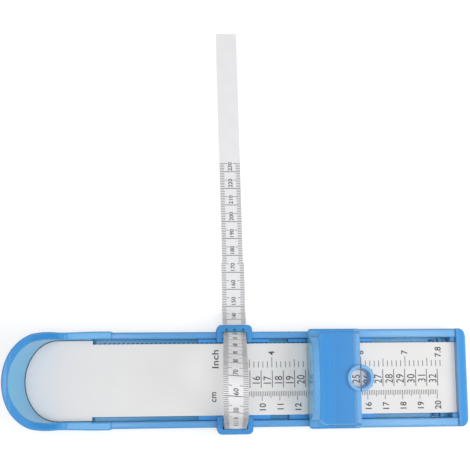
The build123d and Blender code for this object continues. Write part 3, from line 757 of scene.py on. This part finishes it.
class GAUGE_OT_tape(bpy.types.Operator):
    """Lay the measuring tape over the foot bed and out to the table"""

    bl_idname = "gauge.tape"
    bl_label = "Lay the tape"

    # (y, z) in millimetres: the loop in its own plane, from the near side to the far gate
    loop = (
        (-27.1, 12.45), (-27.0, 15.4), (-24.6, 23.4), (-22.8, 33.1), (-21.1, 42.9), (-19.3, 52.7),
        (-16.7, 60.3), (-13.05, 65.0), (-7.9, 67.8), (-1.9, 67.8), (4.0, 64.2), (8.9, 56.7),
        (13.3, 47.7), (17.55, 38.7), (21.5, 29.6), (24.5, 21.2), (25.85, 15.4), (26.3, 12.35),
    )
    # and from there over the gate's lip, down to the table and away from the tray
    free_end = (
        (26.3, 12.2), (27.3, 11.75), (30.3, 9.5), (34.5, 5.4), (38.5, 1.95), (41.5, 0.65),
        (45.0, 0.3), (52.0, 0.3), (68.0, 0.3),
    )
    table_z = 0.3                    # the tape's middle where it lies on the table
    straight_points = 4              # of the free end, with its tip
    step_y = 68.0 * MM               # the tape is narrower from here

    loop_x = CARRIAGE_X + 0.5 * MM
    lean = -0.052                    # the loop leans this much towards the heel for each unit of height
    twist = -0.085                   # and its toe edge is turned this much towards the near side
    twist_rise = 25 * MM             # in full from this far above its foot
    gate_x = CARRIAGE_X + 0.3 * MM
    drift = 0.2 * MM                 # the free end drifts this much towards the toes
    drift_reach = 10 * MM            # over this distance from the gate
    swing = -0.0187                  # and turns this much towards the heel for each unit of y
    swing_y = 52 * MM                # from here

    cut_length = 0.6 * MM            # the strip is cut into lengths of about this, to bend
    edge_tick = 2.5 * MM             # lengths of a millimetre's mark and of every fifth one
    half_tick = 4.1 * MM
    whole_tick_width = 1.3           # width of a centimetre's mark, in ticks
    print_inset = 0.05 * MM          # the marks end this far inside the tape's edges
    digit_bold = 0.7                 # in the bold of the plate's numbers
    last_mark = 235                  # printed millimetres
    gate_mark = 130                  # the mark that stands in the far gate
    gate_hides = 5                   # marks past it that aren't printed, as the gate hides them
    loop_number_past = 2.15          # a number stands this many millimetres past its mark
    free_number_past = 3.2
    ink_tone = 1.3                   # brightness of the tape's ink, in the plate's

    squash_z = 12.4 * MM             # the loop flattens towards this height, where its feet are
    blend_y = 49.5 * MM              # the tape follows the carriage up to here

    def middle_x(self, y, z, outside):
        """The tape's middle line, seen from above."""
        if outside:
            drifted = min(1.0, max(0.0, (y - GATE_HALF) / self.drift_reach))
            return self.gate_x + self.drift * drifted + self.swing * max(0.0, y - self.swing_y)
        return self.loop_x + self.lean * max(0.0, z - PLATE_TOP)

    def wrap(self, bm, route, outside):
        """Bend flat work, whose y runs along the tape and z off its face, round the route."""
        for vertex in bm.verts:
            across, distance, lift = vertex.co
            spot, forward = route.at(distance)
            place = spot + Vector((0, -forward.z, forward.y)) * lift
            if not outside:
                risen = (spot.z - self.loop[0][1] * MM) / self.twist_rise
                place.y += self.twist * across * min(1.0, risen)
            vertex.co = Vector((self.middle_x(spot.y, spot.z, outside) + across, place.y, place.z))

    def strip(self, bm, length, width, tip_width, step_at):
        """The tape itself, as a flat box cut into short lengths, tip_width wide past step_at."""
        middle = Matrix.Translation((0, length / 2, 0))
        spread = Matrix.Diagonal((width, length, sizes().tape_thick, 1))
        bmesh.ops.create_cube(bm, size=1.0, matrix=middle @ spread)
        along = [edge for edge in bm.edges
                 if abs(edge.verts[0].co.y - edge.verts[1].co.y) > length / 2]
        bmesh.ops.subdivide_edges(bm, edges=along, cuts=int(length / self.cut_length))
        if tip_width != width:
            past = [vertex for vertex in bm.verts if vertex.co.y > step_at]
            bmesh.ops.scale(bm, vec=(tip_width / width, 1, 1), verts=past)

    def print_tape(self, bm, marks, tens, start_mark, width_at, past):
        """Print the marks in a range, and a number past each mark in another.

        start_mark is the reading at distance 0, and width_at gives the width at a distance."""
        z = sizes().tape_thick / 2 + TAPE_LIFT
        for mark in marks:
            distance = (mark - start_mark) * MM
            half = width_at(distance) / 2 - self.print_inset
            whole = mark % 10 == 0
            half_width = sizes().tape_tick * (self.whole_tick_width if whole else 1.0) / 2
            length = self.half_tick if mark % 5 == 0 else self.edge_tick
            bars = [(-half, half)] if whole else [(half - length, half), (-half, length - half)]
            for x0, x1 in bars:
                add_bar(bm, x0, x1, distance - half_width, distance + half_width, z)
        for mark in tens:
            distance = (mark - start_mark + past) * MM
            add_words(bm, str(mark), sizes().tape_digits, reading_up(0.0, distance, z),
                      bold=self.digit_bold * sizes().bold)

    def make_loop(self, vinyl, ink):
        points = [(y * MM, z * MM) for y, z in self.loop]
        route = TapeRoute(points, ["AUTO"] * len(points))
        width = sizes().tape_width
        tape = bmesh.new()
        self.strip(tape, route.length, width, width, 0)
        self.wrap(tape, route, False)
        loop = finish_piece("tape_loop", tape, "carriage", vinyl)
        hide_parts("tape_arch")
        start_mark = self.gate_mark - route.length / MM
        every = range(max(1, math.ceil(start_mark)), self.gate_mark + 1)
        tens = range(10, self.gate_mark, 10)
        print_work = bmesh.new()
        self.print_tape(print_work, every, tens, start_mark, lambda distance: width,
                        self.loop_number_past)
        self.wrap(print_work, route, False)
        marks = finish_piece("tape_loop_print", print_work, "carriage", ink)
        for piece in (loop, marks):
            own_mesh(piece)

    def make_free_end(self, vinyl, ink):
        points = [(y * MM, z * MM) for y, z in self.free_end] + [(TAIL_END, self.table_z * MM)]
        bends = ["AUTO"] * (len(points) - self.straight_points) + ["VECTOR"] * self.straight_points
        route = TapeRoute(points, bends)
        width = sizes().free_width
        tip = sizes().tip_width
        step_at = route.distance_at_y(self.step_y)
        tape = bmesh.new()
        self.strip(tape, route.length, width, tip, step_at)
        self.wrap(tape, route, True)
        free = finish_piece("tape_free_end", tape, None, vinyl)
        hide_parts("tape_exit", "tape_tail")
        every = range(self.gate_mark + self.gate_hides, self.last_mark + 1)
        tens = range(self.gate_mark + 10, self.last_mark, 10)
        print_work = bmesh.new()
        self.print_tape(print_work, every, tens, self.gate_mark,
                        lambda distance: width if distance < step_at else tip,
                        self.free_number_past)
        self.wrap(print_work, route, True)
        marks = finish_piece("tape_free_print", print_work, None, ink)
        for piece in (free, marks):
            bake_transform(piece)

    def execute(self, context):
        vinyl = tape_vinyl("tape vinyl", colours().tape)
        ink = printing_ink("tape ink", scaled(colours().ink, self.ink_tone))
        self.make_loop(vinyl, ink)
        self.make_free_end(vinyl, ink)
        paint_node("tape_lead", vinyl)
        return {"FINISHED"}


class GAUGE_OT_gate_arrows(bpy.types.Operator):
    """Print the three reading arrows on the far gate's bar, and paint the shadow of the slot beside it
    as a dark line
    """

    bl_idname = "gauge.gate_arrows"
    bl_label = "Mark the gate"

    height = GATE_TOP + INK_LIFT
    arrows_x = (-4.4 * MM, 0.2 * MM, 4.9 * MM)    # from the gate's middle
    arrows_y = 27.5 * MM
    arrow_radius = 1.15 * MM
    # length and span of the painted shadow of the slot
    edge_half = 6.4 * MM
    edge_y = (26.12 * MM, 26.7 * MM)

    def execute(self, context):
        arrows = bmesh.new()
        for x in self.arrows_x:
            place = Matrix.Translation((CARRIAGE_X + x, self.arrows_y, self.height))
            bmesh.ops.create_circle(arrows, cap_ends=True, segments=3, radius=self.arrow_radius,
                                    matrix=place)
        finish_piece("gate_arrows", arrows, "carriage",
                     printing_ink("arrow ink", colours().arrow_ink))
        # painted shadow of the slot between the gate's bar and the tape
        edge = bmesh.new()
        add_bar(edge, CARRIAGE_X - self.edge_half, CARRIAGE_X + self.edge_half, *self.edge_y,
                self.height)
        finish_piece("gate_slot_shadow", edge, "carriage",
                     printing_ink("slot shadow ink", colours().edge_ink))
        return {"FINISHED"}


class GAUGE_OT_ring_marks(bpy.types.Operator):
    """Draw the two index lines on the slider's reading ring"""

    bl_idname = "gauge.ring_marks"
    bl_label = "Mark the ring"

    mark_half = 0.32 * MM            # half a line's width
    mark_start = RING_BORE + 0.05 * MM
    mark_end = RING_OUTER - 0.1 * MM
    lip_reach = 3.9 * MM             # only the ring stands further back than this from its axis

    def ring_top(self):
        """Height of the reading ring's flat top."""
        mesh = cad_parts["toe_slider"].data
        return max(vertex.co.z for vertex in mesh.vertices if vertex.co.x > RING_X + self.lip_reach)

    def execute(self, context):
        bm = bmesh.new()
        z = self.ring_top() + INK_LIFT
        for y0, y1 in ((self.mark_start, self.mark_end), (-self.mark_end, -self.mark_start)):
            add_bar(bm, RING_X - self.mark_half, RING_X + self.mark_half, y0, y1, z)
        finish_piece("ring_marks", bm, "toe_stop",
                     printing_ink("index ink", colours().ring_ink))
        return {"FINISHED"}


class GAUGE_OT_plastics(bpy.types.Operator):
    """Give every moulded, printed and metal piece its finish"""

    bl_idname = "gauge.plastics"
    bl_label = "Finish the plastics"

    cap_tone = 1.12                  # painted light: the cap's and the runners' blue are made this much brighter, the runners' against the channels' shade
    runner_tone = 1.2

    def execute(self, context):
        blue = colours().blue
        # painted bounce light in the channels, painted highlights on the rails and painted shade
        # between the rack's teeth
        tray = moulded_plastic("tray plastic", blue, gloss=0.16, edge=1.8 * MM,
                               thin=inside_channels, pale=pale_rails, shaded=rack_grease)
        # painted light on the cap's face above the plate
        cap = moulded_plastic("end cap plastic", scaled(blue, self.cap_tone), gloss=0.16,
                              edge=1.2 * MM, pale=cap_face)
        # painted bounce light on the cup's inner walls and painted shade at their foot
        cup = moulded_plastic("heel cup plastic", blue, gloss=0.12, edge=1.5 * MM,
                              thin=thin_cup, shaded=cup_corner)
        # the toe face takes the lighter blue as a painted reflection of the plate; ring, lip, crown and
        # scoop take painted highlights
        slider = moulded_plastic("slider plastic", blue, gloss=0.13, edge=1.2 * MM, thin=toe_front,
                                 pale=pale_slider, smooth=polished_slider, satin=thumbed_sweep)
        carriage = moulded_plastic("carriage plastic", blue, gloss=0.16, edge=1.2 * MM)
        runners = moulded_plastic("runner plastic", scaled(blue, self.runner_tone), gloss=0.30,
                                  edge=0.2 * MM)
        # painted highlight on the rack's teeth
        rack = moulded_plastic("rack plastic", colours().teal, gloss=0.28, edge=0.1 * MM,
                               pale=rack_teeth)
        finishes = {
            "base_tray": tray, "toe_end_cap": cap, "heel_cup": cup, "toe_slider": slider,
            "tape_carriage": carriage, "slider_runner_far": runners, "slider_runner_near": runners,
            "carriage_runner_far": runners, "carriage_runner_near": runners, "detent_rack": rack,
            "scale_plate": printed_sheet("plate sheet", colours().white, colours().heel_white),
            "tape_rivet": nickel_plate("rivet nickel", colours().nickel),
        }
        for node, material in finishes.items():
            paint_node(node, material)
        return {"FINISHED"}


class GAUGE_OT_stage(bpy.types.Operator):
    """Lay the floor and set the lamps and the camera"""

    bl_idname = "gauge.stage"
    bl_label = "Set the stage"

    middle = (0.12, 0.0, 0.0)                               # of the object, on the floor
    floor_half = 3.0
    world_light = 0.46                                      # the world as it lights the object
    world_mirrored = 0.80                                   # and as shiny faces mirror it
    camera_place = (95.25 * MM, -0.16 * MM, 366.93 * MM)    # from the plate's top
    camera_turn = (5.0055, -3.0333, -0.5791)                # degrees
    camera_shift = (0.00476, 0.18679)
    lens = 50.017
    sensor = 36.0

    def lay_floor(self):
        bm = bmesh.new()
        bmesh.ops.create_grid(bm, x_segments=1, y_segments=1, size=self.floor_half)
        floor = bpy.data.objects.new("floor", mesh_of(bm, "floor", floor_paper("floor paper")))
        bpy.context.scene.collection.objects.link(floor)

    def set_world(self):
        """Even light from all round. The camera sees it white."""
        recipe = Recipe(bpy.data.worlds.new("studio"), "Background")
        ray = recipe.add("ShaderNodeLightPath")
        mirrored = recipe.mix(ray.outputs["Is Glossy Ray"], grey(self.world_light),
                              grey(self.world_mirrored))
        recipe.feed("Color", recipe.mix(ray.outputs["Is Camera Ray"], mirrored, grey(1.0)))
        bpy.context.scene.world = recipe.owner

    def add_softbox(self, name, place, target, width, depth, radiance, mirrored):
        """An area lamp of a given brightness that faces target. It is either mirrored by shiny
        faces or lights the surfaces."""
        lamp = bpy.data.lights.new(name, "AREA")
        lamp.shape = "RECTANGLE"
        lamp.size = width
        lamp.size_y = depth
        lamp.energy = radiance * math.pi * width * depth
        holder = bpy.data.objects.new(name, lamp)
        holder.location = place
        holder.rotation_euler = (Vector(target) - Vector(place)).to_track_quat("-Z", "Y").to_euler()
        holder.visible_glossy = mirrored
        holder.visible_diffuse = not mirrored
        bpy.context.scene.collection.objects.link(holder)

    def set_camera(self):
        camera = bpy.data.cameras.new("camera")
        camera.lens = self.lens
        camera.sensor_width = self.sensor
        camera.clip_start = 0.01
        camera.shift_x, camera.shift_y = self.camera_shift
        holder = bpy.data.objects.new("camera", camera)
        x, y, z = self.camera_place
        holder.location = (x, y, z + PLATE_TOP)
        holder.rotation_euler = Euler([math.radians(turn) for turn in self.camera_turn], "XYZ")
        bpy.context.scene.collection.objects.link(holder)
        bpy.context.scene.camera = holder

    def execute(self, context):
        bpy.context.scene.view_settings.view_transform = "Standard"
        self.lay_floor()
        self.set_world()
        self.add_softbox("key", (1.05, -0.25, 0.95), self.middle,
                         width=0.9, depth=0.9, radiance=3.2, mirrored=False)
        self.add_softbox("heel fill", (-0.215, 0.0, 1.0), (-0.215, 0.0, 0.0),
                         width=0.37, depth=0.5, radiance=3.4, mirrored=True)
        self.add_softbox("toe fill", (0.54, 0.0, 1.0), (0.54, 0.0, 0.0),
                         width=0.15, depth=0.5, radiance=4.2, mirrored=True)
        self.add_softbox("overhead", (0.12, 0.0, 1.15), self.middle,
                         width=0.5, depth=0.5, radiance=6.3, mirrored=False)
        self.set_camera()
        return {"FINISHED"}


OPERATORS = (
    GAUGE_OT_plastics,
    GAUGE_OT_plate_print,
    GAUGE_OT_tape,
    GAUGE_OT_gate_arrows,
    GAUGE_OT_ring_marks,
    GAUGE_OT_stage,
)


class GAUGE_PT_pieces(bpy.types.Panel):
    """Lists the steps that dress the device"""

    bl_idname = "GAUGE_PT_pieces"
    bl_label = "Foot Gauge"
    bl_space_type = "VIEW_3D"
    bl_region_type = "UI"
    bl_category = "Foot Gauge"

    def draw(self, context):
        column = self.layout.column()
        for group in (context.scene.gauge_sizes, context.scene.gauge_colours):
            for name in group.__annotations__:
                column.prop(group, name)
        for operator in OPERATORS:
            column.operator(operator.bl_idname)


CLASSES = (GaugeSizes, GaugeColours, *OPERATORS, GAUGE_PT_pieces)


def register():
    for item in CLASSES:
        bpy.utils.register_class(item)
    bpy.types.Scene.gauge_sizes = PointerProperty(type=GaugeSizes)
    bpy.types.Scene.gauge_colours = PointerProperty(type=GaugeColours)


def unregister():
    del bpy.types.Scene.gauge_colours
    del bpy.types.Scene.gauge_sizes
    for item in reversed(CLASSES):
        bpy.utils.unregister_class(item)


def main():
    register()
    for operator in OPERATORS:
        group, name = operator.bl_idname.split(".")
        getattr(getattr(bpy.ops, group), name)()


if __name__ == "__main__":
    main()
